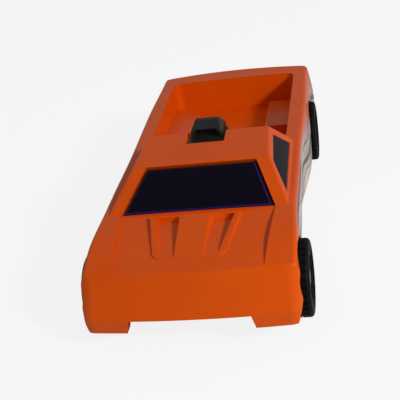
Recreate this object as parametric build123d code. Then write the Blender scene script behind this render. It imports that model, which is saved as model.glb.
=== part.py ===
from build123d import *
import math
import os

# Toy pickup car, about 1:64 scale: a die-cast body over a moulded chassis base, free-rolling wheels on two
# wire axles, a tinted window moulding, a cabin tub and an engine whose scoop rises through the roof.
# Millimetres. +Z is up, -Y is the front, +X is the car's own left side. The origin lies on the ground under
# the centre of the body.

# ---- Overall -----------------------------------------------------------------------------------------
overall_length = 74.4
belt_half = 15.0  # half width of the body at its shoulder line
bulge_half = belt_half + 0.5  # half width at the widest level of the nose and the rear fenders
sill_half = belt_half - 0.3  # half width at the bottom edge
front_overhang = 8.4  # nose to front axle
rear_overhang = 14.75  # rear axle to tail
wall = 1.1  # thickness of the casting

# ---- Wheels and axles --------------------------------------------------------------------------------
wheel_radius = 5.65
wheel_width = 3.4
wheel_proud = 1.4  # how far the wheels stand out of the shoulder line
rim_radius = 4.0
rim_barrel = 0.55  # radial thickness of the rim's barrel
axle_radius = 0.5
axle_play = 0.05  # radial, in the wheels and in the base's slots
side_play = 0.15  # axial, each side of a wheel
front_shift = 0.45  # how far the front axle has slid to +X in its wider saddles
axle_head_radius = 0.95
axle_head_height = 0.45
hub_radius = 1.5
spoke_count = 5
tread_count = 30

# ---- Heights -----------------------------------------------------------------------------------------
arch_clearance = 0.35
fender_metal = 0.7
skirt_height = 2.7  # bottom edge of the body over the ground
leg_height = 3.2  # bottom of the two legs under the nose
base_height = 2.2  # bottom face of the chassis base over the ground
deck = 2 * wheel_radius + arch_clearance + fender_metal  # top of the front fenders over the axle
crease_height = deck - 1.6  # where the hood breaks into the nose
lip_height = deck - 5.4  # concave line across the nose
chin_height = skirt_height + 2.5  # top of the gap between the legs under the nose
hood_rear_height = deck + 0.75
belt_height = deck + 0.85  # shoulder line at the windscreen
rail_height = deck + 1.6  # top of the bed's sides
roof_front_height = deck + 5.05
roof_rear_height = deck + 5.95
scoop_height = deck + 7.75
crown = 0.2  # rise of the body's top across its width

# ---- Places along the car, measured back from the nose -------------------------------------------------
nose_y = -overall_length / 2
tail_y = overall_length / 2
front_axle_y = nose_y + front_overhang
rear_axle_y = tail_y - rear_overhang
crease_y = nose_y + 2.85
lip_y = nose_y + 1.05
screen_base_y = nose_y + 16.35
screen_top_y = screen_base_y + 8.7
roof_rear_y = screen_top_y + 9.6
cab_rear_y = roof_rear_y + 4.6
crease_round = 0.8  # radius of the soft break between hood and nose
nose_bow = 0.8  # how far the nose curves back at its corners
nose_corner = 2.5
tail_bow = 1.2
tail_corner = 3.0

# ---- Cab ---------------------------------------------------------------------------------------------
cab_base_half = belt_half - 1.0
cab_lean = 0.72  # inward lean of the cab's sides, per unit of height
screen_frame = 2.0  # width of the frame each side of the windscreen
screen_base_margin = 0.15
screen_top_margin = 0.35
pane_gap = 0.12  # round each thick pane in its opening
pane_depth = 0.08  # how far the panes lie below the frame
pane_bevel = 0.55
notch_half = 3.2
notch_length = 3.7

# ---- Hood --------------------------------------------------------------------------------------------
panel_front_half = belt_half - 4.1
panel_rear_half = belt_half - 3.0
bulge_rear_half = 8.1
bulge_front_half = 5.4
bulge_rise = 0.7
duct_depth = 1.35
bulge_draft = 20.0  # degrees
duct_draft = 20.0  # degrees

# ---- Bed ---------------------------------------------------------------------------------------------
rail_width = 2.6
bed_half = belt_half - rail_width
bed_front_y = cab_rear_y + 1.3
bed_rear_y = tail_y - 4.7
bed_floor = wheel_radius + axle_radius + 0.4 + wall
bed_draft = 4.0  # degrees
bed_corner = 1.2
tub_half_length = arch_clearance + wheel_radius + 0.1
tub_inner_half = 7.2
tub_top = deck - 2.25

# ---- Inside ------------------------------------------------------------------------------------------
inner_gap = 0.15  # between the casting and what is fitted in it
glass_thickness = 0.7
base_plate = 1.3
post_radius = 1.9
rivet_radius = 0.8
rivet_head_radius = 1.6
rivet_head_height = 0.5
rivet_length = 3.4
saddle_x = 10.9  # middle of each axle saddle
saddle_width = 2.4

# ---- Derived -----------------------------------------------------------------------------------------
wheel_outer_x = belt_half + wheel_proud
wheel_inner_x = wheel_outer_x - wheel_width
axle_z = wheel_radius
arch_radius = wheel_radius + arch_clearance
base_top = base_height + base_plate
front_post_y = front_axle_y + arch_radius + post_radius - 0.5
rear_post_y = rear_axle_y - arch_radius - post_radius - 0.4
screen_slope = (roof_front_height - hood_rear_height) / (screen_top_y - screen_base_y)
roof_slope = (roof_rear_height - roof_front_height) / (roof_rear_y - screen_top_y)
hood_slope = (hood_rear_height - crease_height - crown) / (screen_base_y - crease_y)
far = 60.0


# ---- Helpers -----------------------------------------------------------------------------------------
def face_on(plane, points):
    """A flat face on a plane, from the corners of its outline."""
    return plane * make_face(Polyline(*points, close=True))


def prism_x(points, low, high):
    """A prism along X; its outline is given as (y, z)."""
    return extrude(face_on(Plane.YZ.offset(low), points), high - low)


def prism_y(points, low, high):
    """A prism along Y; its outline is given as (x, z)."""
    plane = Plane(origin=(0, high, 0), x_dir=(1, 0, 0), z_dir=(0, -1, 0))
    return extrude(face_on(plane, points), high - low)


def prism_z(points, low, high):
    """A prism along Z; its outline is given as (x, y)."""
    return extrude(face_on(Plane.XY.offset(low), points), high - low)


def block(x0, x1, y0, y1, z0, z1):
    """A box from its lowest to its highest corner."""
    return Pos((x0 + x1) / 2, (y0 + y1) / 2, (z0 + z1) / 2) * Box(x1 - x0, y1 - y0, z1 - z0)


def rod_x(radius, x0, x1, y, z):
    """A round bar along X."""
    return Pos((x0 + x1) / 2, y, z) * Rot(0, 90, 0) * Cylinder(radius, abs(x1 - x0))


def rod_z(radius, z0, z1, x, y):
    """A round bar along Z."""
    return Pos(x, y, (z0 + z1) / 2) * Cylinder(radius, z1 - z0)


def both_sides(shape):
    """The shape with its mirror image across the car's centre plane."""
    return shape + mirror(shape, Plane.YZ)


def save(shape, name):
    """Writes one node."""
    solids = shape.solids()
    export_step(solids[0] if len(solids) == 1 else Compound(children=list(solids)), f"parts/{name}.step")


def hood_z(y):
    """Height of the flat hood panel."""
    return hood_rear_height + (y - screen_base_y) * hood_slope


# ---- Body: outside -----------------------------------------------------------------------------------
def section(y, belt, bulge, sill, top):
    """One cross section of the lower body: crowned top, bowed sides, flat bottom."""
    plane = Plane(origin=(0, y, 0), x_dir=(1, 0, 0), z_dir=(0, -1, 0))
    pull = 2 * bulge - (belt + sill) / 2
    bottom = skirt_height
    level = (top + bottom) / 2 + 0.8
    outline = (
        Bezier((-belt, top), (0, top + 2 * crown), (belt, top))
        + Bezier((belt, top), (pull, level), (sill, bottom))
        + Line((sill, bottom), (-sill, bottom))
        + Bezier((-sill, bottom), (-pull, level), (-belt, top))
    )
    return plane * make_face(outline)


def lower_block(inset):
    """The lower body's sides and top as one long block, drawn in by an inset."""
    door_y = (screen_base_y + roof_rear_y) / 2
    flank_y = (roof_rear_y + rear_axle_y) / 2
    quarter_y = (rear_axle_y + tail_y) / 2
    stations = [
        (nose_y - 2, belt_half - 0.2, bulge_half + 0.2, sill_half, crease_height - 1.0),
        (crease_y, belt_half, bulge_half + 0.45, sill_half + 0.1, crease_height),
        (front_axle_y, belt_half + 0.2, bulge_half + 0.35, sill_half, deck),
        (screen_base_y, belt_half, belt_half + 0.1, sill_half, belt_height),
        (door_y, belt_half, belt_half - 0.05, sill_half - 0.3, belt_height + 0.15),
        (roof_rear_y, belt_half - 0.1, belt_half - 0.2, sill_half - 0.6, belt_height + 0.3),
        (flank_y, belt_half, belt_half + 0.3, sill_half + 0.5, rail_height - 0.25),
        (rear_axle_y, belt_half, bulge_half, sill_half + 0.3, rail_height),
        (quarter_y, belt_half - 0.2, bulge_half - 0.1, sill_half + 0.1, rail_height + 0.15),
        (tail_y + 2, belt_half - 0.4, belt_half, sill_half - 0.4, rail_height + 0.5),
    ]
    return loft(
        [
            section(y, belt - inset, bulge - inset, sill - inset, top - inset)
            for y, belt, bulge, sill, top in stations
        ]
    )


def end_outline(end_y, away, half, bow, corner):
    """Plan outline that closes one end with a shallow bow and rounded corners; away is +1 or -1."""
    shoulder = end_y + away * bow
    outline = (
        Line((half, away * far), (half, shoulder))
        + ThreePointArc((half, shoulder), (0, end_y), (-half, shoulder))
        + Line((-half, shoulder), (-half, away * far))
        + Line((-half, away * far), (half, away * far))
    )
    sketch = make_face(outline)
    corners = [v for v in sketch.vertices() if abs(v.Y - shoulder) < 0.01]
    return fillet(corners, corner)


def nose_envelope():
    """Everything behind the nose: a leaning fascia, a band that leans further and upright legs."""
    half = bulge_half + 0.8
    lean = (crease_y - lip_y) / (crease_height - lip_height)
    band_lean = (lip_y - nose_y) / (lip_height - chin_height)
    fascia = Plane.XY.offset(lip_height) * end_outline(lip_y, 1, half, nose_bow, nose_corner)
    legs = Plane.XY.offset(chin_height) * end_outline(nose_y, 1, half, nose_bow, nose_corner)
    band_rise = (lip_height - chin_height) * math.sqrt(1 + band_lean * band_lean)
    shape = extrude(fascia, far / 2, dir=(0, lean, 1))
    shape += extrude(legs, band_rise, dir=(0, band_lean, 1))
    return shape + extrude(legs, -chin_height)


def tail_envelope():
    """Everything ahead of the tail's upright panel."""
    return extrude(end_outline(tail_y, -1, bulge_half + 0.5, tail_bow, tail_corner), far / 2)


def side_fillets(body):
    """Edges along both shoulders of the lower body."""
    return [e for e in body.edges() if abs(e.center().X) > belt_half - 2 and e.length > 30 and e.center().Z > 9]


def lower_outer():
    """The lower body's outside, still solid."""
    body = lower_block(0) & nose_envelope() & tail_envelope()
    body = fillet(side_fillets(body), 0.6)
    crease = [
        e
        for e in body.edges()
        if abs(e.center().Z - crease_height) < 0.6 and abs(e.center().Y - crease_y) < 1.5 and e.length > 15
    ]
    return fillet(crease, crease_round)


def cab_profile(inset):
    """Side view of the cab, drawn in by an inset measured square to each face."""
    def line_height(y, y0, z0, slope):
        return z0 + (y - y0) * slope - inset * math.sqrt(1 + slope * slope)

    rear_slope = -(roof_rear_height - belt_height) / (cab_rear_y - roof_rear_y)
    screen = (screen_base_y, hood_rear_height, screen_slope)
    roof = (screen_top_y, roof_front_height, roof_slope)
    back = (roof_rear_y, roof_rear_height, rear_slope)

    def meet(first, second):
        shift_first = line_height(0, *first)
        shift_second = line_height(0, *second)
        y = (shift_second - shift_first) / (first[2] - second[2])
        return (y, shift_first + y * first[2])

    foot = hood_rear_height - 2.0
    front_y = (foot - line_height(0, *screen)) / screen_slope
    back_y = (foot - line_height(0, *back)) / rear_slope
    return [(front_y, foot), meet(screen, roof), meet(roof, back), (back_y, foot)]


def cab_sides(inset):
    """Space between the cab's leaning sides, drawn in by an inset."""
    side = cab_base_half - inset * math.sqrt(1 + cab_lean * cab_lean)
    foot = hood_rear_height - 2.0
    top = roof_rear_height + 1
    front_view = [
        (side + 2.0 * cab_lean, foot),
        (side - (top - hood_rear_height) * cab_lean, top),
        (-side + (top - hood_rear_height) * cab_lean, top),
        (-side - 2.0 * cab_lean, foot),
    ]
    return prism_y(front_view, -far, far)


def cab_block(inset):
    """The cab as a solid, drawn in by an inset."""
    return prism_x(cab_profile(inset), -far, far) & cab_sides(inset)


def cab_outer():
    """The cab's outside with its edges rounded, trimmed to the body's width at its foot."""
    cab = cab_block(0)
    edges = [e for e in cab.edges() if e.center().Z > hood_rear_height]
    cab = fillet(edges, 0.45)
    return cab & block(-cab_base_half, cab_base_half, -far, far, 0, far)


# ---- Body: hood --------------------------------------------------------------------------------------
def hood_panel_cut():
    """Space over the flat panel between the fenders; it fades out at the break to the nose."""
    front_y = crease_y - 0.3
    plan = [
        (-panel_front_half, front_y),
        (panel_front_half, front_y),
        (panel_rear_half, screen_base_y),
        (-panel_rear_half, screen_base_y),
    ]
    side = [
        (front_y, hood_z(front_y)),
        (screen_base_y, hood_rear_height),
        (screen_base_y, far),
        (front_y, far),
    ]
    return prism_z(plan, 0, far) & prism_x(side, -far, far)


def hood_bulge():
    """The raised middle of the hood with its two sunken ducts."""
    front_y = crease_y + 3.1
    rear_y = screen_base_y - 0.3
    plan = make_face(
        Polyline(
            (-bulge_rear_half, rear_y),
            (-bulge_front_half, front_y),
            (bulge_front_half, front_y),
            (bulge_rear_half, rear_y),
            close=True,
        )
    )
    front_corners = [v for v in plan.vertices() if v.Y < front_y + 0.1]
    plan = fillet(front_corners, 1.6)
    foot = hood_z(front_y) - 0.5
    top_front = hood_z(front_y) + 0.08
    top_rear = hood_z(rear_y) + bulge_rise
    side = [(front_y - 1, foot), (front_y - 1, top_front - 0.15), (rear_y, top_rear), (rear_y, foot)]
    raised = extrude(Pos(0, 0, foot) * plan, far / 4, taper=bulge_draft)
    bulge = raised & prism_x(side, -far, far)
    floor_rear = top_rear - duct_depth
    duct_plan = make_face(
        Polyline(
            (2.15, front_y + 0.5),
            (bulge_front_half - 1.1, front_y + 1.2),
            (bulge_rear_half - 2.7, rear_y - 0.75),
            (3.0, rear_y - 1.1),
            close=True,
        )
    )
    sunk = extrude(Pos(0, 0, top_front) * duct_plan, far / 8, taper=-duct_draft)
    duct_side = [(front_y, top_front), (rear_y, floor_rear), (rear_y, far), (front_y, far)]
    back_wall = block(-far, far, front_y, rear_y - 0.45, 0, far)
    duct = sunk & prism_x(duct_side, -far, far) & back_wall
    return bulge, both_sides(duct)


# ---- Body: openings ----------------------------------------------------------------------------------
def screen_plane():
    """Plane of the windscreen: X across, Y up the slope, origin at the foot."""
    return Plane(origin=(0, screen_base_y, hood_rear_height), x_dir=(1, 0, 0), z_dir=(0, -screen_slope, 1))


def screen_outline():
    """Corners of the windscreen opening, in its own plane."""
    height = (screen_top_y - screen_base_y) * math.sqrt(1 + screen_slope * screen_slope)
    base_half = cab_base_half - screen_frame
    top_half = cab_base_half - (roof_front_height - hood_rear_height) * cab_lean - screen_frame
    return [
        (-base_half, screen_base_margin),
        (base_half, screen_base_margin),
        (top_half, height - screen_top_margin),
        (-top_half, height - screen_top_margin),
    ]


def screen_opening():
    """The windscreen's opening."""
    face = face_on(screen_plane(), screen_outline())
    return extrude(face, -wall * 2.5) + extrude(face, wall * 2)


def screen_pane():
    """Thick pane of the window moulding that fills the windscreen's opening, its edge bevelled."""
    face = offset(make_face(Polyline(*screen_outline(), close=True)), -pane_gap, kind=Kind.INTERSECTION)
    pane = extrude(Pos(0, 0, -pane_depth) * face, -(wall + inner_gap + glass_thickness / 2 - pane_depth))
    rim = pane.edges().group_by(Axis.Z)[-1]
    return screen_plane() * chamfer(rim, pane_bevel)


def side_outline():
    """Corners of a side window, seen from the side."""
    sill = belt_height + 0.4
    back_y = roof_rear_y - 1.5
    return [
        (screen_base_y + 3.1, sill),
        (screen_top_y - 0.1, roof_front_height - 0.8),
        (back_y, roof_front_height + (back_y - screen_top_y) * roof_slope - 0.85),
        (back_y + 3.1, sill + 0.45),
    ]


def side_openings():
    """Both side windows in one cut."""
    return prism_x(side_outline(), -far, far)


def side_panes():
    """Thick panes that fill the side windows' openings."""
    shape = offset(make_face(Polyline(*side_outline(), close=True)), -pane_gap, kind=Kind.INTERSECTION)
    through = extrude(Plane.YZ.offset(-far) * shape, far * 2)
    return (cab_block(pane_depth) & through) - cab_sides(wall + inner_gap + glass_thickness / 2)


def rear_opening():
    """The open bay behind the cab, between its rear pillars, and the notch in the roof."""
    low = belt_height + 0.4
    top_y = roof_rear_y - notch_length
    half_low = cab_base_half - (low - hood_rear_height) * cab_lean - 1.3
    half_high = cab_base_half - (roof_rear_height - 1.0 - hood_rear_height) * cab_lean - 1.3
    opening = prism_y(
        [(-half_low, low), (half_low, low), (half_high, roof_rear_height - 1.0), (-half_high, roof_rear_height - 1.0)],
        roof_rear_y - 1.2,
        cab_rear_y + 3,
    )
    notch = block(-notch_half, notch_half, top_y, cab_rear_y, roof_front_height - 2, far)
    bay = block(-notch_half - 2.6, notch_half + 2.6, top_y - 0.6, cab_rear_y - 0.9, base_top, roof_front_height)
    return opening + notch + bay


def bed_space():
    """The pickup bed's hollow, with drafted walls, around the two wheel tubs."""
    depth = rail_height + 3 - bed_floor
    plan = Pos(0, (bed_front_y + bed_rear_y) / 2, bed_floor) * RectangleRounded(
        2 * bed_half - 1.0, bed_rear_y - bed_front_y, bed_corner
    )
    hollow = extrude(plan, depth, taper=-bed_draft)
    tub = block(
        tub_inner_half,
        far,
        rear_axle_y - tub_half_length,
        rear_axle_y + tub_half_length,
        bed_floor - 1,
        tub_top,
    )
    return hollow - both_sides(tub)


def arches():
    """Wheel openings through the sides."""
    tool = None
    for axle_y, shift in ((front_axle_y, front_shift), (rear_axle_y, 0)):
        inner_x = wheel_inner_x - 0.3 - shift
        arch = rod_x(arch_radius, inner_x, far, axle_y, axle_z)
        arch += block(inner_x, far, axle_y - arch_radius, axle_y + arch_radius, 0, axle_z)
        tool = arch if tool is None else tool + arch
    return both_sides(tool)


def front_cutout():
    """The gap under the nose between its two legs, and the space under the legs."""
    foot = belt_half - 5.0
    top = foot - 1.3
    outline = [(-foot, 0), (foot, 0), (top, chin_height), (-top, chin_height)]
    return prism_y(outline, -far, crease_y + 2) + block(-far, far, nose_y - 1, front_axle_y, 0, leg_height)


# ---- Body: inside ------------------------------------------------------------------------------------
def cavity():
    """The hollow of the casting, open below."""
    inner = lower_block(wall)
    inner += Pos(0, 0, -1) * inner
    front_face = [
        (crease_y + 1.6, crease_height),
        (nose_y + 2.0, chin_height + 0.6),
        (nose_y + 2.0, -1),
        (bed_front_y - wall, -1),
        (bed_front_y - wall, far),
        (crease_y + 1.5, far),
    ]
    front = inner & prism_x(front_face, -far, far)
    below_hood = prism_x(
        [
            (nose_y, hood_z(nose_y) - wall),
            (screen_base_y, hood_rear_height - wall),
            (screen_base_y, far),
            (nose_y, far),
        ],
        -panel_rear_half - 0.6,
        panel_rear_half + 0.6,
    )
    front -= below_hood
    rear = inner & block(-far, far, bed_front_y - wall - 0.01, tail_y - 3.4, -1, bed_floor - wall)
    tub = block(
        tub_inner_half + wall,
        bed_half,
        rear_axle_y - tub_half_length + wall,
        rear_axle_y + tub_half_length - wall,
        0,
        tub_top - wall,
    )
    return front + rear + both_sides(tub) + cab_block(wall)


def posts_and_ribs():
    """Rivet posts, and the ribs that keep the axles down in their saddles."""
    shape = None
    for y, top in ((front_post_y, hood_z(front_post_y) - 0.4), (rear_post_y, bed_floor - 0.4)):
        post = rod_z(post_radius, base_top, top, 0, y)
        shape = post if shape is None else shape + post
    rib_bottom = axle_z + axle_radius + 0.1
    for y, top in ((front_axle_y, hood_z(front_axle_y) - 0.5), (rear_axle_y, tub_top - 0.5)):
        shape += both_sides(block(saddle_x - 0.5, saddle_x + 0.5, y - 1.5, y + 1.5, rib_bottom, top))
    return shape


def rivet_holes():
    """Blind holes in the posts."""
    holes = None
    for y in (front_post_y, rear_post_y):
        hole = rod_z(rivet_radius, 0, base_height + 0.1 + rivet_head_height + rivet_length, 0, y)
        holes = hole if holes is None else holes + hole
    return holes


def door_lines():
    """Thin grooves round each door."""
    front_y = screen_base_y + 1.6
    rear_y = roof_rear_y - 0.6
    outer = prism_x(
        [
            (front_y, belt_height - 0.9),
            (front_y + 0.9, skirt_height + 1.4),
            (rear_y, skirt_height + 1.4),
            (rear_y + 0.8, belt_height - 0.9),
        ],
        -far,
        far,
    )
    line = 0.22
    inner = prism_x(
        [
            (front_y + line, belt_height - 0.9 + line),
            (front_y + 0.9 + line, skirt_height + 1.4 + line),
            (rear_y - line, skirt_height + 1.4 + line),
            (rear_y + 0.8 - line, belt_height - 0.9 + line),
        ],
        -far,
        far,
    )
    return (outer - inner) - lower_block(0.18)


def tail_panel():
    """Recess across the tail that holds the lamp bars."""
    low = deck - 3.4
    high = deck + 0.1
    half = belt_half - 2.6
    recess = block(-half, half, tail_y - 0.55, tail_y + 1, low, high)
    for step in range(3):
        z = low + 0.45 + step * 0.95
        recess -= both_sides(block(half - 5.6, half - 0.5, tail_y - 1, tail_y - 0.25, z, z + 0.6))
    return recess


def body_shell():
    body = lower_outer()
    body -= hood_panel_cut()
    body += cab_outer()
    bulge, ducts = hood_bulge()
    body += bulge
    body -= cavity() - block(-far, far, nose_y, screen_base_y, hood_rear_height - 0.2, far)
    body -= ducts
    body -= screen_opening()
    body -= side_openings()
    body -= rear_opening()
    body -= bed_space()
    body += posts_and_ribs()
    body -= arches()
    body -= front_cutout()
    body -= rivet_holes()
    body -= door_lines()
    body -= tail_panel()
    return body


# ---- Window moulding ---------------------------------------------------------------------------------
def window_insert():
    """One tinted moulding behind all the windows, with a bulkhead ahead of the engine bay."""
    outer = cab_block(wall + inner_gap)
    foot = belt_height - 0.5
    above = block(-far, far, -far, far, foot, far)
    inner = cab_block(wall + inner_gap + glass_thickness)
    shell = outer - inner - Pos(0, wall * 3, 0) * inner
    ahead = [
        (screen_base_y - 5, foot - 1),
        (cab_rear_y - 1.9, foot - 1),
        (roof_rear_y - 0.7, roof_rear_height + 1),
        (screen_base_y - 5, roof_rear_height + 1),
    ]
    shell = shell & prism_x(ahead, -far, far)
    front_of_bay = roof_rear_y - notch_length - 0.6
    shell -= block(-notch_half - 0.4, notch_half + 0.4, front_of_bay, far, foot, far)
    bulkhead = outer & block(-far, far, front_of_bay - glass_thickness, front_of_bay, foot, far)
    return (shell + bulkhead + screen_pane() + side_panes()) & above


# ---- Cabin tub ---------------------------------------------------------------------------------------
def cabin_tub():
    """Floor, walls, two seats, dashboard and steering wheel in one moulding."""
    rim = belt_height - 0.5
    half = cab_base_half - 1.5
    front_y = screen_base_y + 2.3
    rear_y = roof_rear_y - notch_length - 0.6
    tub_wall = 0.9
    floor = base_top + 1.0
    tub = block(-half, half, front_y, rear_y, base_top, rim)
    tub -= block(-half + tub_wall, half - tub_wall, front_y + tub_wall, rear_y - tub_wall, floor, far)
    inside = half - tub_wall
    dash_top = rim - 0.7
    tub += prism_x(
        [
            (front_y + 0.5, floor),
            (front_y + 2.0, floor),
            (front_y + 3.0, dash_top - 1.6),
            (front_y + 2.6, dash_top),
            (front_y + 0.9, dash_top - 0.4),
            (front_y + 0.5, dash_top - 1.5),
        ],
        -inside - 0.3,
        inside + 0.3,
    )
    for side in (-1, 1):
        x = side * half * 0.46
        cushion = block(x - 2.6, x + 2.6, rear_y - 6.2, rear_y - 1.8, floor - 0.2, floor + 2.6)
        back = prism_x(
            [
                (rear_y - 2.9, floor - 0.2),
                (rear_y - 1.2, floor - 0.2),
                (rear_y - 1.0, rim - 1.1),
                (rear_y - 2.0, rim - 1.1),
            ],
            x - 2.5,
            x + 2.5,
        )
        tub += fillet(cushion.edges().group_by(Axis.Z)[-1], 0.4) + back
    wheel_y = front_y + 4.6
    wheel_z = rim - 1.9
    wheel = Pos(half * 0.46, wheel_y, wheel_z) * Rot(65, 0, 0) * Torus(1.35, 0.25)
    column = Pos(half * 0.46, wheel_y, wheel_z) * Rot(65, 0, 0) * Pos(0, 0, 1.1) * Cylinder(0.35, 2.6)
    cross = Pos(half * 0.46, wheel_y, wheel_z) * Rot(65, 0, 0) * Box(2.7, 0.5, 0.3)
    tub += wheel + column + cross
    return tub


# ---- Engine ------------------------------------------------------------------------------------------
def engine():
    """A V engine standing behind the cabin, its scoop rising through the notch in the roof."""
    front_y = roof_rear_y - notch_length - 0.3
    rear_y = cab_rear_y - 1.2
    middle_y = (front_y + rear_y) / 2
    length = rear_y - front_y
    crank_z = base_top + 3.0
    body = block(-2.6, 2.6, front_y, rear_y, base_top, crank_z + 2.2)
    banks = None
    for side in (-1, 1):
        head = Pos(side * 2.5, middle_y, crank_z + 3.5) * Rot(0, side * 40, 0) * Box(2.4, length - 0.6, 5.0)
        cover = Pos(side * 4.25, middle_y, crank_z + 5.6) * Rot(0, side * 40, 0) * Box(2.0, length - 1.2, 1.4)
        bank = head + fillet(cover.edges().filter_by(Axis.Y), 0.3)
        banks = bank if banks is None else banks + bank
    body += banks
    for step in range(4):
        y = front_y + 1.2 + step * (length - 2.4) / 3
        body += both_sides(Pos(4.2, y, crank_z + 2.6) * Rot(0, -55, 0) * Cylinder(0.45, 2.4))
    manifold_top = crank_z + 7.4
    body += block(-1.9, 1.9, front_y + 0.9, rear_y - 0.5, crank_z + 2.0, manifold_top)
    scoop_front = roof_rear_y - 1.2
    scoop_rear = rear_y
    body += block(-1.5, 1.5, scoop_front + 0.2, scoop_rear - 0.5, manifold_top - 1, roof_front_height - 1.0)
    scoop = prism_x(
        [
            (scoop_front, roof_front_height - 1.2),
            (scoop_front + 0.3, scoop_height - 1.0),
            (scoop_front + 1.9, scoop_height - 0.1),
            (scoop_front + 2.9, scoop_height),
            (scoop_rear, scoop_height - 1.7),
            (scoop_rear, roof_front_height - 1.2),
        ],
        -2.7,
        2.7,
    )
    outline = [
        (-2.7, roof_front_height - 2),
        (2.7, roof_front_height - 2),
        (2.7, scoop_height - 1.5),
        (1.9, scoop_height + 0.1),
        (-1.9, scoop_height + 0.1),
        (-2.7, scoop_height - 1.5),
    ]
    scoop = scoop & prism_y(outline, -far, far)
    top_edges = [e for e in scoop.edges() if e.center().Z > scoop_height - 1.4 and e.length > 0.5]
    scoop = fillet(top_edges, 0.35)
    mouth = [
        (-2.2, roof_front_height - 0.8),
        (2.2, roof_front_height - 0.8),
        (2.2, scoop_height - 1.9),
        (1.6, scoop_height - 1.05),
        (-1.6, scoop_height - 1.05),
        (-2.2, scoop_height - 1.9),
    ]
    scoop -= prism_y(mouth, scoop_front - 1, scoop_front + 1.6)
    body += scoop
    notch_front = roof_rear_y - notch_length
    collar_top = roof_front_height + (notch_front - screen_top_y) * roof_slope - 0.35
    collar_half = notch_half - 0.15
    body += block(-collar_half, collar_half, notch_front + 0.15, rear_y - 0.4, collar_top - 0.9, collar_top)
    pulley = Pos(0, front_y + 0.1, crank_z + 0.6) * Rot(90, 0, 0) * Cylinder(1.4, 0.2)
    return body + pulley


# ---- Chassis base ------------------------------------------------------------------------------------
def chassis_base():
    """Flat moulded base with axle saddles, wheel recesses and countersunk rivet seats."""
    near_wheels = wheel_inner_x - 0.55 - front_shift
    between = sill_half - wall - 0.7
    gap = arch_radius + 0.4
    front_end = front_axle_y - 2.3
    rear_end = tail_y - 3.6
    plan = [
        (near_wheels, front_end),
        (near_wheels, front_axle_y + gap),
        (between, front_axle_y + gap),
        (between, rear_axle_y - gap),
        (near_wheels, rear_axle_y - gap),
        (near_wheels, rear_end),
    ]
    mirrored = [(-x, y) for x, y in reversed(plan)]
    base = prism_z(plan + mirrored, base_height, base_top)
    chin_y = nose_y + 2.3
    chin_z = chin_height - 0.4
    chin = [
        (front_end, base_height),
        (front_end, base_top),
        (chin_y, chin_z + 0.9),
        (chin_y, chin_z),
    ]
    base += prism_x(chin, -near_wheels, near_wheels)
    base += block(-0.6, 0.6, nose_y + 0.7, chin_y + 0.4, chin_z - 0.1, chin_height - 0.15)
    saddle_inner = saddle_x - saddle_width / 2
    slot = axle_radius + axle_play
    for y, shift in ((front_axle_y, front_shift), (rear_axle_y, 0)):
        saddle_outer = wheel_inner_x - side_play - shift
        saddle = block(saddle_inner, saddle_outer, y - 1.5, y + 1.5, base_top - 0.2, axle_z + 0.45)
        saddle -= block(saddle_inner - 1, saddle_outer + 1, y - slot, y + slot, axle_z, far)
        saddle -= rod_x(slot, saddle_inner - 1, saddle_outer + 1, y, axle_z)
        base += both_sides(saddle)
    for y in (front_post_y, rear_post_y):
        base -= rod_z(rivet_head_radius + 0.15, base_height - 1, base_height + 0.1 + rivet_head_height, 0, y)
        base -= rod_z(rivet_radius + 0.1, base_height - 1, base_top + 1, 0, y)
    relief = 0.35
    for x in (4.2, 8.4):
        base -= both_sides(block(x, x + 0.7, front_post_y - 1, rear_post_y + 1, base_height - 1, base_height + relief))
    pan = make_face(Polyline((-2.4, -9), (2.4, -9), (2.9, 2), (-2.9, 2), close=True))
    ring = extrude(offset(pan, 0.5), relief) - extrude(pan, relief)
    base -= Pos(0, 0, base_height) * ring
    return base


# ---- Axles, wheels, rivets ---------------------------------------------------------------------------
def axle():
    """Wire axle with an upset head at each end, at the origin."""
    tip = wheel_outer_x - 0.3
    shape = rod_x(axle_radius, -tip, tip, 0, 0)
    head = rod_x(axle_head_radius, tip - axle_head_height, tip, 0, 0)
    return shape + both_sides(head)


def rim():
    """Spoked rim at the origin, its axis along X and its outer face towards +X."""
    half = wheel_width / 2
    inner = rim_radius - rim_barrel
    barrel = rod_x(rim_radius, -half + 0.1, half - 0.15, 0, 0) - rod_x(inner, -half, half, 0, 0)
    face_out = half - 0.5
    face_in = face_out - 0.9
    spokes = None
    for index in range(spoke_count):
        spoke = prism_x([(-0.85, 0), (0.85, 0), (0.6, inner + 0.2), (-0.6, inner + 0.2)], face_in, face_out)
        spoke = Rot(index * 360 / spoke_count, 0, 0) * spoke
        spokes = spoke if spokes is None else spokes + spoke
    head_seat = half - 0.3 - axle_head_height - side_play
    hub = rod_x(hub_radius, -half, head_seat, 0, 0)
    collar = rod_x(hub_radius, -half, face_out + 0.15, 0, 0)
    well = rod_x(axle_head_radius + 0.15, head_seat, far, 0, 0)
    bore = rod_x(axle_radius + axle_play, -far, far, 0, 0)
    return barrel + spokes + collar + hub - well - bore


def tyre():
    """Slick-shouldered tyre with cross grooves, at the origin, its axis along X."""
    half = wheel_width / 2
    shape = rod_x(wheel_radius, -half, half, 0, 0)
    shape = fillet(shape.edges(), 0.55)
    shape -= rod_x(rim_radius, -far, far, 0, 0)
    depth = 0.22
    groove = block(-half * 0.72, half * 0.72, -0.16, 0.16, wheel_radius - depth, wheel_radius + 1)
    for index in range(tread_count):
        shape -= Rot(index * 360 / tread_count, 0, 0) * groove
    ring = rod_x(wheel_radius + 1, -0.12, 0.12, 0, 0) - rod_x(wheel_radius - depth, -1, 1, 0, 0)
    return shape - ring


def rivet(y):
    """Rivet that holds the base to one post."""
    head_top = base_height + 0.1 + rivet_head_height
    head = rod_z(rivet_head_radius, base_height + 0.1, head_top, 0, y)
    return head + rod_z(rivet_radius, head_top - 0.1, head_top + rivet_length, 0, y)


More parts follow.
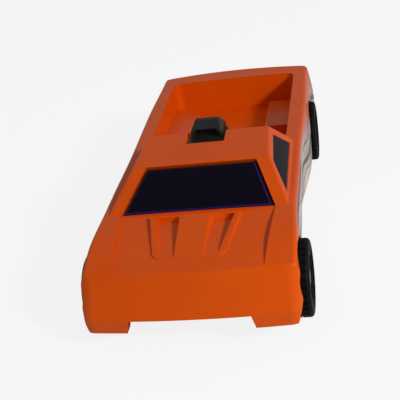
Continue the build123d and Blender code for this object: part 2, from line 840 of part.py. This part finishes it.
# ---- Output ------------------------------------------------------------------------------------------
os.makedirs("parts", exist_ok=True)
save(body_shell(), "body_shell")
save(window_insert(), "window_insert")
save(cabin_tub(), "cabin_tub")
save(engine(), "engine")
save(chassis_base(), "chassis_base")
save(rivet(front_post_y), "front_rivet")
save(rivet(rear_post_y), "rear_rivet")
wheel_x = wheel_outer_x - wheel_width / 2
for end, y, shift in (("front", front_axle_y, front_shift), ("rear", rear_axle_y, 0)):
    middle = Pos(shift, y, axle_z)
    save(middle * axle(), f"{end}_axle")
    for side, turn in (("left", 0), ("right", 180)):
        place = middle * Rot(0, 0, turn) * Pos(wheel_x, 0, 0)
        save(place * rim(), f"{end}_{side}_rim")
        save(place * tyre(), f"{end}_{side}_tyre")
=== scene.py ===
import bpy
from mathutils import Matrix, Vector


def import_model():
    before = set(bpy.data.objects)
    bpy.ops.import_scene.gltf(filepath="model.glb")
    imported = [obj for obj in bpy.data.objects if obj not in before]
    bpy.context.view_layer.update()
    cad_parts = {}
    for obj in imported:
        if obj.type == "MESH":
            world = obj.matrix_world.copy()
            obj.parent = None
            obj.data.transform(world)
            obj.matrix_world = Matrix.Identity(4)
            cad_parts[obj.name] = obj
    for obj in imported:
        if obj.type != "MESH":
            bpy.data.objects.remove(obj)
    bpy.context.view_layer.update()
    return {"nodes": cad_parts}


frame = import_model()
nodes = frame["nodes"]

MM = 0.001
WHITE = (1.0, 1.0, 1.0, 1.0)

# ---- Node helpers --------------------------------------------------------------------------------
# Sockets of the Mix node in its colour mode, by number because the node repeats their names
MIX_FACTOR = 0
MIX_FIRST = 6
MIX_SECOND = 7
MIX_RESULT = 2

DOT_CENTRE = 0.5  # middle of a halftone cell, in cells
DOT_REACH = 0.75  # a dot's radius where the amount is 1, in cells, just past the cell's corner
DOT_SOFT = 0.05


class Shader:
    """A node material with one Principled shader, and short calls for the nodes it needs.

    Places (place, x, y, z) are in the piece's own frame in millimetres. The facing values are the parts
    of the surface's normal in that frame.
    """

    def __init__(self, name, **settings):
        self.material = bpy.data.materials.new(name)
        self.material.use_nodes = True
        self.tree = self.material.node_tree
        self.main = self.tree.nodes["Principled BSDF"]
        for socket, value in settings.items():
            self.main.inputs[socket.replace("_", " ")].default_value = value
        coordinates = self.add("ShaderNodeTexCoord")
        scale = self.add("ShaderNodeVectorMath", operation="SCALE")
        self.link(coordinates.outputs["Object"], scale.inputs[0])
        scale.inputs["Scale"].default_value = 1.0 / MM
        self.place = scale.outputs["Vector"]
        split = self.add("ShaderNodeSeparateXYZ")
        self.link(self.place, split.inputs[0])
        self.x, self.y, self.z = split.outputs
        normal = self.add("ShaderNodeSeparateXYZ")
        self.link(coordinates.outputs["Normal"], normal.inputs[0])
        self.facing_x, self.facing_y, self.facing_z = normal.outputs

    def add(self, kind, **options):
        made = self.tree.nodes.new(kind)
        for option, value in options.items():
            setattr(made, option, value)
        return made

    def link(self, source, target):
        """Feeds a socket from another socket, or sets it where the source is a plain value."""
        if isinstance(source, (int, float, tuple)):
            target.default_value = source
        else:
            self.tree.links.new(source, target)

    def math(self, operation, first, second=0.0, third=0.0):
        made = self.add("ShaderNodeMath", operation=operation)
        for socket, value in zip(made.inputs, (first, second, third)):
            self.link(value, socket)
        return made.outputs[0]

    def ramp(self, value, low, high):
        """0 below low, 1 above high, smooth between."""
        made = self.add("ShaderNodeMapRange", interpolation_type="SMOOTHSTEP")
        self.link(value, made.inputs["Value"])
        self.link(low, made.inputs["From Min"])
        self.link(high, made.inputs["From Max"])
        return made.outputs["Result"]

    def window(self, value, low, high, soft):
        """1 between low and high, with soft edges."""
        rise = self.ramp(value, low - soft, low + soft)
        fall = self.ramp(value, high - soft, high + soft)
        return self.math("SUBTRACT", rise, fall)

    def mix(self, factor, first, second):
        """The first colour where the factor is 0, the second where it is 1."""
        made = self.add("ShaderNodeMix", data_type="RGBA")
        self.link(factor, made.inputs[MIX_FACTOR])
        self.link(first, made.inputs[MIX_FIRST])
        self.link(second, made.inputs[MIX_SECOND])
        return made.outputs[MIX_RESULT]

    def halftone(self, spacing, amount):
        """Round dots on a slanted grid; none where the amount is 0, filled where it is 1."""
        squares = None
        for operation in ("ADD", "SUBTRACT"):
            along = self.math(operation, self.y, self.z)
            cell = self.math("FRACT", self.math("DIVIDE", along, spacing))
            offset = self.math("SUBTRACT", cell, DOT_CENTRE)
            square = self.math("MULTIPLY", offset, offset)
            squares = square if squares is None else self.math("ADD", squares, square)
        distance = self.math("SQRT", squares)
        reach = self.math("MULTIPLY", amount, DOT_REACH)
        return self.ramp(self.math("SUBTRACT", reach, distance), -DOT_SOFT, DOT_SOFT)

    def noise(self, scale, detail, stretch=None):
        """Smooth 0 to 1 noise; a stretch below 1 draws it out along that axis."""
        made = self.add("ShaderNodeTexNoise")
        made.inputs["Scale"].default_value = scale
        made.inputs["Detail"].default_value = detail
        vector = self.place
        if stretch is not None:
            mapping = self.add("ShaderNodeMapping")
            self.link(vector, mapping.inputs["Vector"])
            mapping.inputs["Scale"].default_value = stretch
            vector = mapping.outputs["Vector"]
        self.link(vector, made.inputs["Vector"])
        return made.outputs["Fac"]

    def bump(self, height, distance, strength=1.0):
        """Surface relief; the distance is in millimetres."""
        made = self.add("ShaderNodeBump")
        made.inputs["Strength"].default_value = strength
        made.inputs["Distance"].default_value = distance * MM
        self.link(height, made.inputs["Height"])
        self.link(made.outputs["Normal"], self.main.inputs["Normal"])

    def colour(self, source):
        self.link(source, self.main.inputs["Base Color"])

    def roughness(self, value, low, high):
        """Roughness that follows a 0 to 1 value between two levels."""
        made = self.add("ShaderNodeMapRange")
        self.link(value, made.inputs["Value"])
        made.inputs["To Min"].default_value = low
        made.inputs["To Max"].default_value = high
        self.link(made.outputs["Result"], self.main.inputs["Roughness"])


# The standard sRGB curve
LEVELS = 255
SRGB_STRAIGHT_END = 0.04045
SRGB_STRAIGHT_SLOPE = 12.92
SRGB_OFFSET = 0.055
SRGB_SCALE = 1.055
SRGB_POWER = 2.4


def rgb(red, green, blue):
    """A display colour given in 0 to 255, as linear values."""

    def linear(level):
        part = level / LEVELS
        if part <= SRGB_STRAIGHT_END:
            return part / SRGB_STRAIGHT_SLOPE
        return ((part + SRGB_OFFSET) / SRGB_SCALE) ** SRGB_POWER

    return (linear(red), linear(green), linear(blue), 1.0)


# ---- Painted body --------------------------------------------------------------------------------
ORANGE = rgb(230, 86, 2)
ORANGE_DEEP = rgb(218, 77, 1)
SILVER = rgb(226, 208, 202)
SILVER_DARK = rgb(176, 158, 154)
INK = rgb(24, 20, 22)
CHIP = rgb(96, 40, 22)
PAINT_SHEEN = (1.0, 0.6, 0.25, 1.0)

# The printed panel on each side, in mm
SIDE_X = 13.9  # the sides lie beyond this distance from the middle
PANEL_TOP = 12.62  # height of its upper edge at the middle of the length
PANEL_RISE = 0.018  # rise of that edge for each mm towards the rear
PANEL_FRONT = -24.0
PANEL_REAR = 35.5
PANEL_SOFT = 0.2
SIDE_FACING_LOW = 0.5  # faces that point less to the side than this carry no print
SIDE_FACING_HIGH = 0.6
LOOSE_FROM = 0.0  # the dotted edge loosens between these two places along the car
LOOSE_TO = 20.0
EDGE_DEPTH = 0.9  # depth of the dotted edge ahead of that stretch
EDGE_DEPTH_ADDED = 4.5  # what the stretch adds to it
EDGE_LIFT = 0.4  # how far above the edge the first dots lie
DOT_SPACING = 0.55
BORDER_LOW = -1.0  # the dark border, measured down from the panel's upper edge
BORDER_HIGH = 1.7
BORDER_FADE_FROM = -7.0  # it fades out between these two places along the car
BORDER_FADE_TO = -1.0
LINE_SOFT = 0.12
# Waves along the car: rate in radians for each mm, phase in radians, the rest in mm down from that edge
FLOWING_LINES = (
    {"rate": 0.3, "phase": 1.0, "swing": 1.1, "low": 2.4, "high": 2.75},
    {"rate": 0.22, "phase": 2.1, "swing": 1.5, "low": 4.4, "high": 5.3},
    {"rate": 0.4, "phase": 0.3, "swing": 0.8, "low": 7.2, "high": 7.5},
)


def side_field(shader):
    """Where the panel lies, 1 inside with a dotted upper edge, and the depth below that edge."""
    side = shader.math("ABSOLUTE", shader.x)
    on_side = shader.ramp(side, SIDE_X - PANEL_SOFT, SIDE_X + PANEL_SOFT)
    facing = shader.ramp(shader.math("ABSOLUTE", shader.facing_x), SIDE_FACING_LOW, SIDE_FACING_HIGH)
    top_edge = shader.math("MULTIPLY_ADD", shader.y, PANEL_RISE, PANEL_TOP)
    below = shader.math("SUBTRACT", top_edge, shader.z)
    rearness = shader.ramp(shader.y, LOOSE_FROM, LOOSE_TO)
    softness = shader.math("MULTIPLY_ADD", rearness, EDGE_DEPTH_ADDED, EDGE_DEPTH)
    amount = shader.math("DIVIDE", shader.math("ADD", below, EDGE_LIFT), softness)
    dots = shader.halftone(DOT_SPACING, amount)
    length = shader.window(shader.y, PANEL_FRONT, PANEL_REAR, PANEL_SOFT)
    mask = shader.math("MULTIPLY", shader.math("MULTIPLY", on_side, facing), length)
    return shader.math("MULTIPLY", mask, dots), below


def side_print(shader, below):
    """Silver ground with dark flowing lines and a dark border along its front half."""
    broad = shader.noise(scale=0.35, detail=2.0, stretch=(1.0, 0.3, 1.0))
    ground = shader.mix(shader.ramp(broad, low=0.35, high=0.65), SILVER_DARK, SILVER)
    rear_half = shader.ramp(shader.y, BORDER_FADE_FROM, BORDER_FADE_TO)
    front_half = shader.math("SUBTRACT", 1.0, rear_half)
    border = shader.window(below, BORDER_LOW, BORDER_HIGH, PANEL_SOFT)
    dark = shader.math("MULTIPLY", border, front_half)
    for line in FLOWING_LINES:
        turn = shader.math("MULTIPLY_ADD", shader.y, line["rate"], line["phase"])
        depth = shader.math("MULTIPLY_ADD", shader.math("SINE", turn), line["swing"], below)
        drawn = shader.window(depth, line["low"], line["high"], LINE_SOFT)
        dark = shader.math("MAXIMUM", dark, drawn)
    return shader.mix(dark, ground, INK)


def painted_casting():
    """Orange paint with slow changes of tone and small worn chips, under the printed side panels."""
    shader = Shader("painted_casting", Coat_Weight=0.22, Coat_Roughness=0.05, Specular_IOR_Level=0.25)
    shader.main.inputs["Specular Tint"].default_value = PAINT_SHEEN
    tone = shader.noise(scale=0.16, detail=2.0)
    paint = shader.mix(tone, ORANGE_DEEP, ORANGE)
    chips = shader.ramp(shader.noise(scale=0.55, detail=3.0), low=0.745, high=0.76)
    paint = shader.mix(chips, paint, CHIP)
    mask, below = side_field(shader)
    shader.colour(shader.mix(mask, paint, side_print(shader, below)))
    shader.roughness(shader.noise(scale=2.5, detail=2.0), low=0.3, high=0.4)
    shader.bump(shader.noise(scale=0.9, detail=1.0), distance=0.012, strength=0.6)
    return shader


# ---- Other materials -----------------------------------------------------------------------------
# The windscreen's outward normal. A face turned away from it by the slope of a bevelled edge gets a
# painted highlight: a lighter purple standing in for the light such edges catch.
SCREEN_NORMAL_Y = -0.442
SCREEN_NORMAL_Z = 0.897
BEVEL_LOW = 0.55
BEVEL_HIGH = 0.985
BEVEL_SOFT = 0.01
TINT_DARK = rgb(30, 18, 58)
TINT = rgb(40, 26, 72)
# Painted highlight colour for the windscreen's bevelled edges, standing in for the light they catch
TINT_PAINTED_HIGHLIGHT = rgb(112, 80, 190)
STEEL_DARK = rgb(150, 150, 152)
STEEL = rgb(190, 190, 192)
PATCH_SCALE = 0.12  # scale of a plastic's uneven patches against its grain


def tinted_window():
    """Clear purple moulding; the bevelled edges of its windscreen get a painted highlight, a lighter
    purple than its flat faces.
    """
    shader = Shader("tinted_window", Transmission_Weight=0.85, IOR=1.2)
    streaks = shader.noise(scale=0.3, detail=2.0)
    flat_colour = shader.mix(streaks, TINT_DARK, TINT)
    slope_y = shader.math("MULTIPLY", shader.facing_y, SCREEN_NORMAL_Y)
    slope = shader.math("MULTIPLY_ADD", shader.facing_z, SCREEN_NORMAL_Z, slope_y)
    # Painted highlight: faces sloped away from the windscreen's plane, its bevelled edges, get the
    # lighter purple
    bevel_painted_highlight = shader.window(slope, BEVEL_LOW, BEVEL_HIGH, BEVEL_SOFT)
    shader.colour(shader.mix(bevel_painted_highlight, flat_colour, TINT_PAINTED_HIGHLIGHT))
    shader.roughness(streaks, low=0.03, high=0.07)
    shader.bump(streaks, distance=0.02, strength=0.4)
    return shader


def drawn_steel():
    """Bright metal with fine lines along the wires and across the rivets."""
    shader = Shader("drawn_steel", Metallic=1.0)
    lines = shader.noise(scale=6.0, detail=3.0, stretch=(0.05, 1.0, 1.0))
    shader.colour(shader.mix(lines, STEEL_DARK, STEEL))
    shader.roughness(lines, low=0.22, high=0.4)
    shader.bump(lines, distance=0.01, strength=0.5)
    return shader


def moulded(name, colour, variation, rough_low, rough_high, grain, relief, shine=0.3):
    """Moulded plastic or rubber: slightly uneven colour, uneven gloss and fine relief."""
    shader = Shader(name, Specular_IOR_Level=shine)
    patches = shader.noise(grain * PATCH_SCALE, detail=4.0)
    darker = tuple(part * (1 - variation) for part in colour[:3]) + (1.0,)
    lighter = tuple(min(1.0, part * (1 + variation)) for part in colour[:3]) + (1.0,)
    shader.colour(shader.mix(patches, darker, lighter))
    fine = shader.noise(grain, detail=2.0)
    shader.roughness(fine, rough_low, rough_high)
    shader.bump(fine, relief)
    return shader


paint = painted_casting()
window = tinted_window()
steel = drawn_steel()
tub_plastic = moulded(
    "tub_plastic",
    rgb(34, 33, 36),
    variation=0.2,
    rough_low=0.4,
    rough_high=0.55,
    grain=4.0,
    relief=0.02,
)
engine_plastic = moulded(
    "engine_plastic",
    rgb(34, 34, 30),
    variation=0.15,
    rough_low=0.28,
    rough_high=0.42,
    grain=4.0,
    relief=0.015,
)
base_plastic = moulded(
    "base_plastic",
    rgb(28, 28, 30),
    variation=0.2,
    rough_low=0.5,
    rough_high=0.7,
    grain=6.0,
    relief=0.03,
)
rim_plastic = moulded(
    "rim_plastic",
    rgb(30, 32, 32),
    variation=0.15,
    rough_low=0.2,
    rough_high=0.32,
    grain=3.0,
    relief=0.01,
)
tyre_rubber = moulded(
    "tyre_rubber",
    rgb(15, 16, 15),
    variation=0.3,
    rough_low=0.45,
    rough_high=0.65,
    grain=5.0,
    relief=0.03,
    shine=0.06,
)

finish = {
    "body_shell": paint,
    "window_insert": window,
    "cabin_tub": tub_plastic,
    "engine": engine_plastic,
    "chassis_base": base_plastic,
    "front_rivet": steel,
    "rear_rivet": steel,
    "front_axle": steel,
    "rear_axle": steel,
}
for end in ("front", "rear"):
    for side in ("left", "right"):
        finish[f"{end}_{side}_rim"] = rim_plastic
        finish[f"{end}_{side}_tyre"] = tyre_rubber
for name, shader in finish.items():
    slots = nodes[name].data.materials
    slots.clear()
    slots.append(shader.material)


# ---- Floor and light -----------------------------------------------------------------------------
FLOOR_SIZE = 6.0  # in metres
FLOOR_GREY = (0.8, 0.8, 0.8, 1.0)
FLOOR_ROUGHNESS = 0.9
FLOOR_GLOW = 0.86  # share of plain white in what the camera sees of the floor
SKY_LIGHT = 0.3  # strength of the surroundings as light on the model
SKY_SEEN = 1.0  # and as the camera sees them


def floor():
    """A pale floor that catches a faint shadow and otherwise reads as near white."""
    bpy.ops.mesh.primitive_plane_add(size=FLOOR_SIZE, location=(0.0, 0.0, 0.0))
    plane = bpy.context.object
    plane.name = "floor"
    material = bpy.data.materials.new("floor_pale")
    material.use_nodes = True
    tree = material.node_tree
    surface = tree.nodes["Principled BSDF"]
    surface.inputs["Base Color"].default_value = FLOOR_GREY
    surface.inputs["Roughness"].default_value = FLOOR_ROUGHNESS
    glow = tree.nodes.new("ShaderNodeEmission")
    glow.inputs["Strength"].default_value = 1.0
    seen = tree.nodes.new("ShaderNodeLightPath")
    share = tree.nodes.new("ShaderNodeMath")
    share.operation = "MULTIPLY"
    tree.links.new(seen.outputs["Is Camera Ray"], share.inputs[0])
    share.inputs[1].default_value = FLOOR_GLOW
    blend = tree.nodes.new("ShaderNodeMixShader")
    tree.links.new(share.outputs[0], blend.inputs[0])
    tree.links.new(surface.outputs[0], blend.inputs[1])
    tree.links.new(glow.outputs[0], blend.inputs[2])
    tree.links.new(blend.outputs[0], tree.nodes["Material Output"].inputs["Surface"])
    plane.data.materials.append(material)


def world():
    """White surroundings, dimmer as a light than as the camera sees them."""
    sky = bpy.data.worlds.new("studio")
    bpy.context.scene.world = sky
    sky.use_nodes = True
    tree = sky.node_tree
    back = tree.nodes["Background"]
    back.inputs["Color"].default_value = WHITE
    seen = tree.nodes.new("ShaderNodeLightPath")
    level = tree.nodes.new("ShaderNodeMapRange")
    tree.links.new(seen.outputs["Is Camera Ray"], level.inputs["Value"])
    level.inputs["To Min"].default_value = SKY_LIGHT
    level.inputs["To Max"].default_value = SKY_SEEN
    tree.links.new(level.outputs["Result"], back.inputs["Strength"])


def lamp(name, place, target, size, power):
    """A round lamp aimed at a target; places and size are in metres, power in watts."""
    data = bpy.data.lights.new(name, "AREA")
    data.shape = "DISK"
    data.size = size
    data.energy = power
    made = bpy.data.objects.new(name, data)
    bpy.context.scene.collection.objects.link(made)
    made.location = place
    direction = Vector(target) - Vector(place)
    made.rotation_euler = direction.to_track_quat("-Z", "Y").to_euler()


floor()
world()
lamp("key", place=(0.245, -0.17, 0.18), target=(0.0, 0.0, 0.01), size=0.045, power=0.7)


# ---- Camera --------------------------------------------------------------------------------------
CAMERA_PLACE = (26.16, -130.96, 73.49)  # in mm
CAMERA_FORWARD = (-0.1988, 0.8660, -0.4588)
CAMERA_UP = (0.0725, 0.4799, 0.8743)
LENS = 76.7  # lens and sensor are in mm
SENSOR = 36.0
CLIP_START = 0.01  # nearest and farthest distance drawn, in metres
CLIP_END = 20.0


def camera():
    data = bpy.data.cameras.new("camera")
    data.lens = LENS
    data.sensor_width = SENSOR
    data.clip_start = CLIP_START
    data.clip_end = CLIP_END
    made = bpy.data.objects.new("camera", data)
    bpy.context.scene.collection.objects.link(made)
    forward = Vector(CAMERA_FORWARD).normalized()
    right = forward.cross(Vector(CAMERA_UP)).normalized()
    up = right.cross(forward)
    turn = Matrix((right, up, -forward)).transposed()
    made.matrix_world = Matrix.Translation(Vector(CAMERA_PLACE) * MM) @ turn.to_4x4()
    bpy.context.scene.camera = made


camera()
bpy.context.scene.view_settings.view_transform = "Standard"
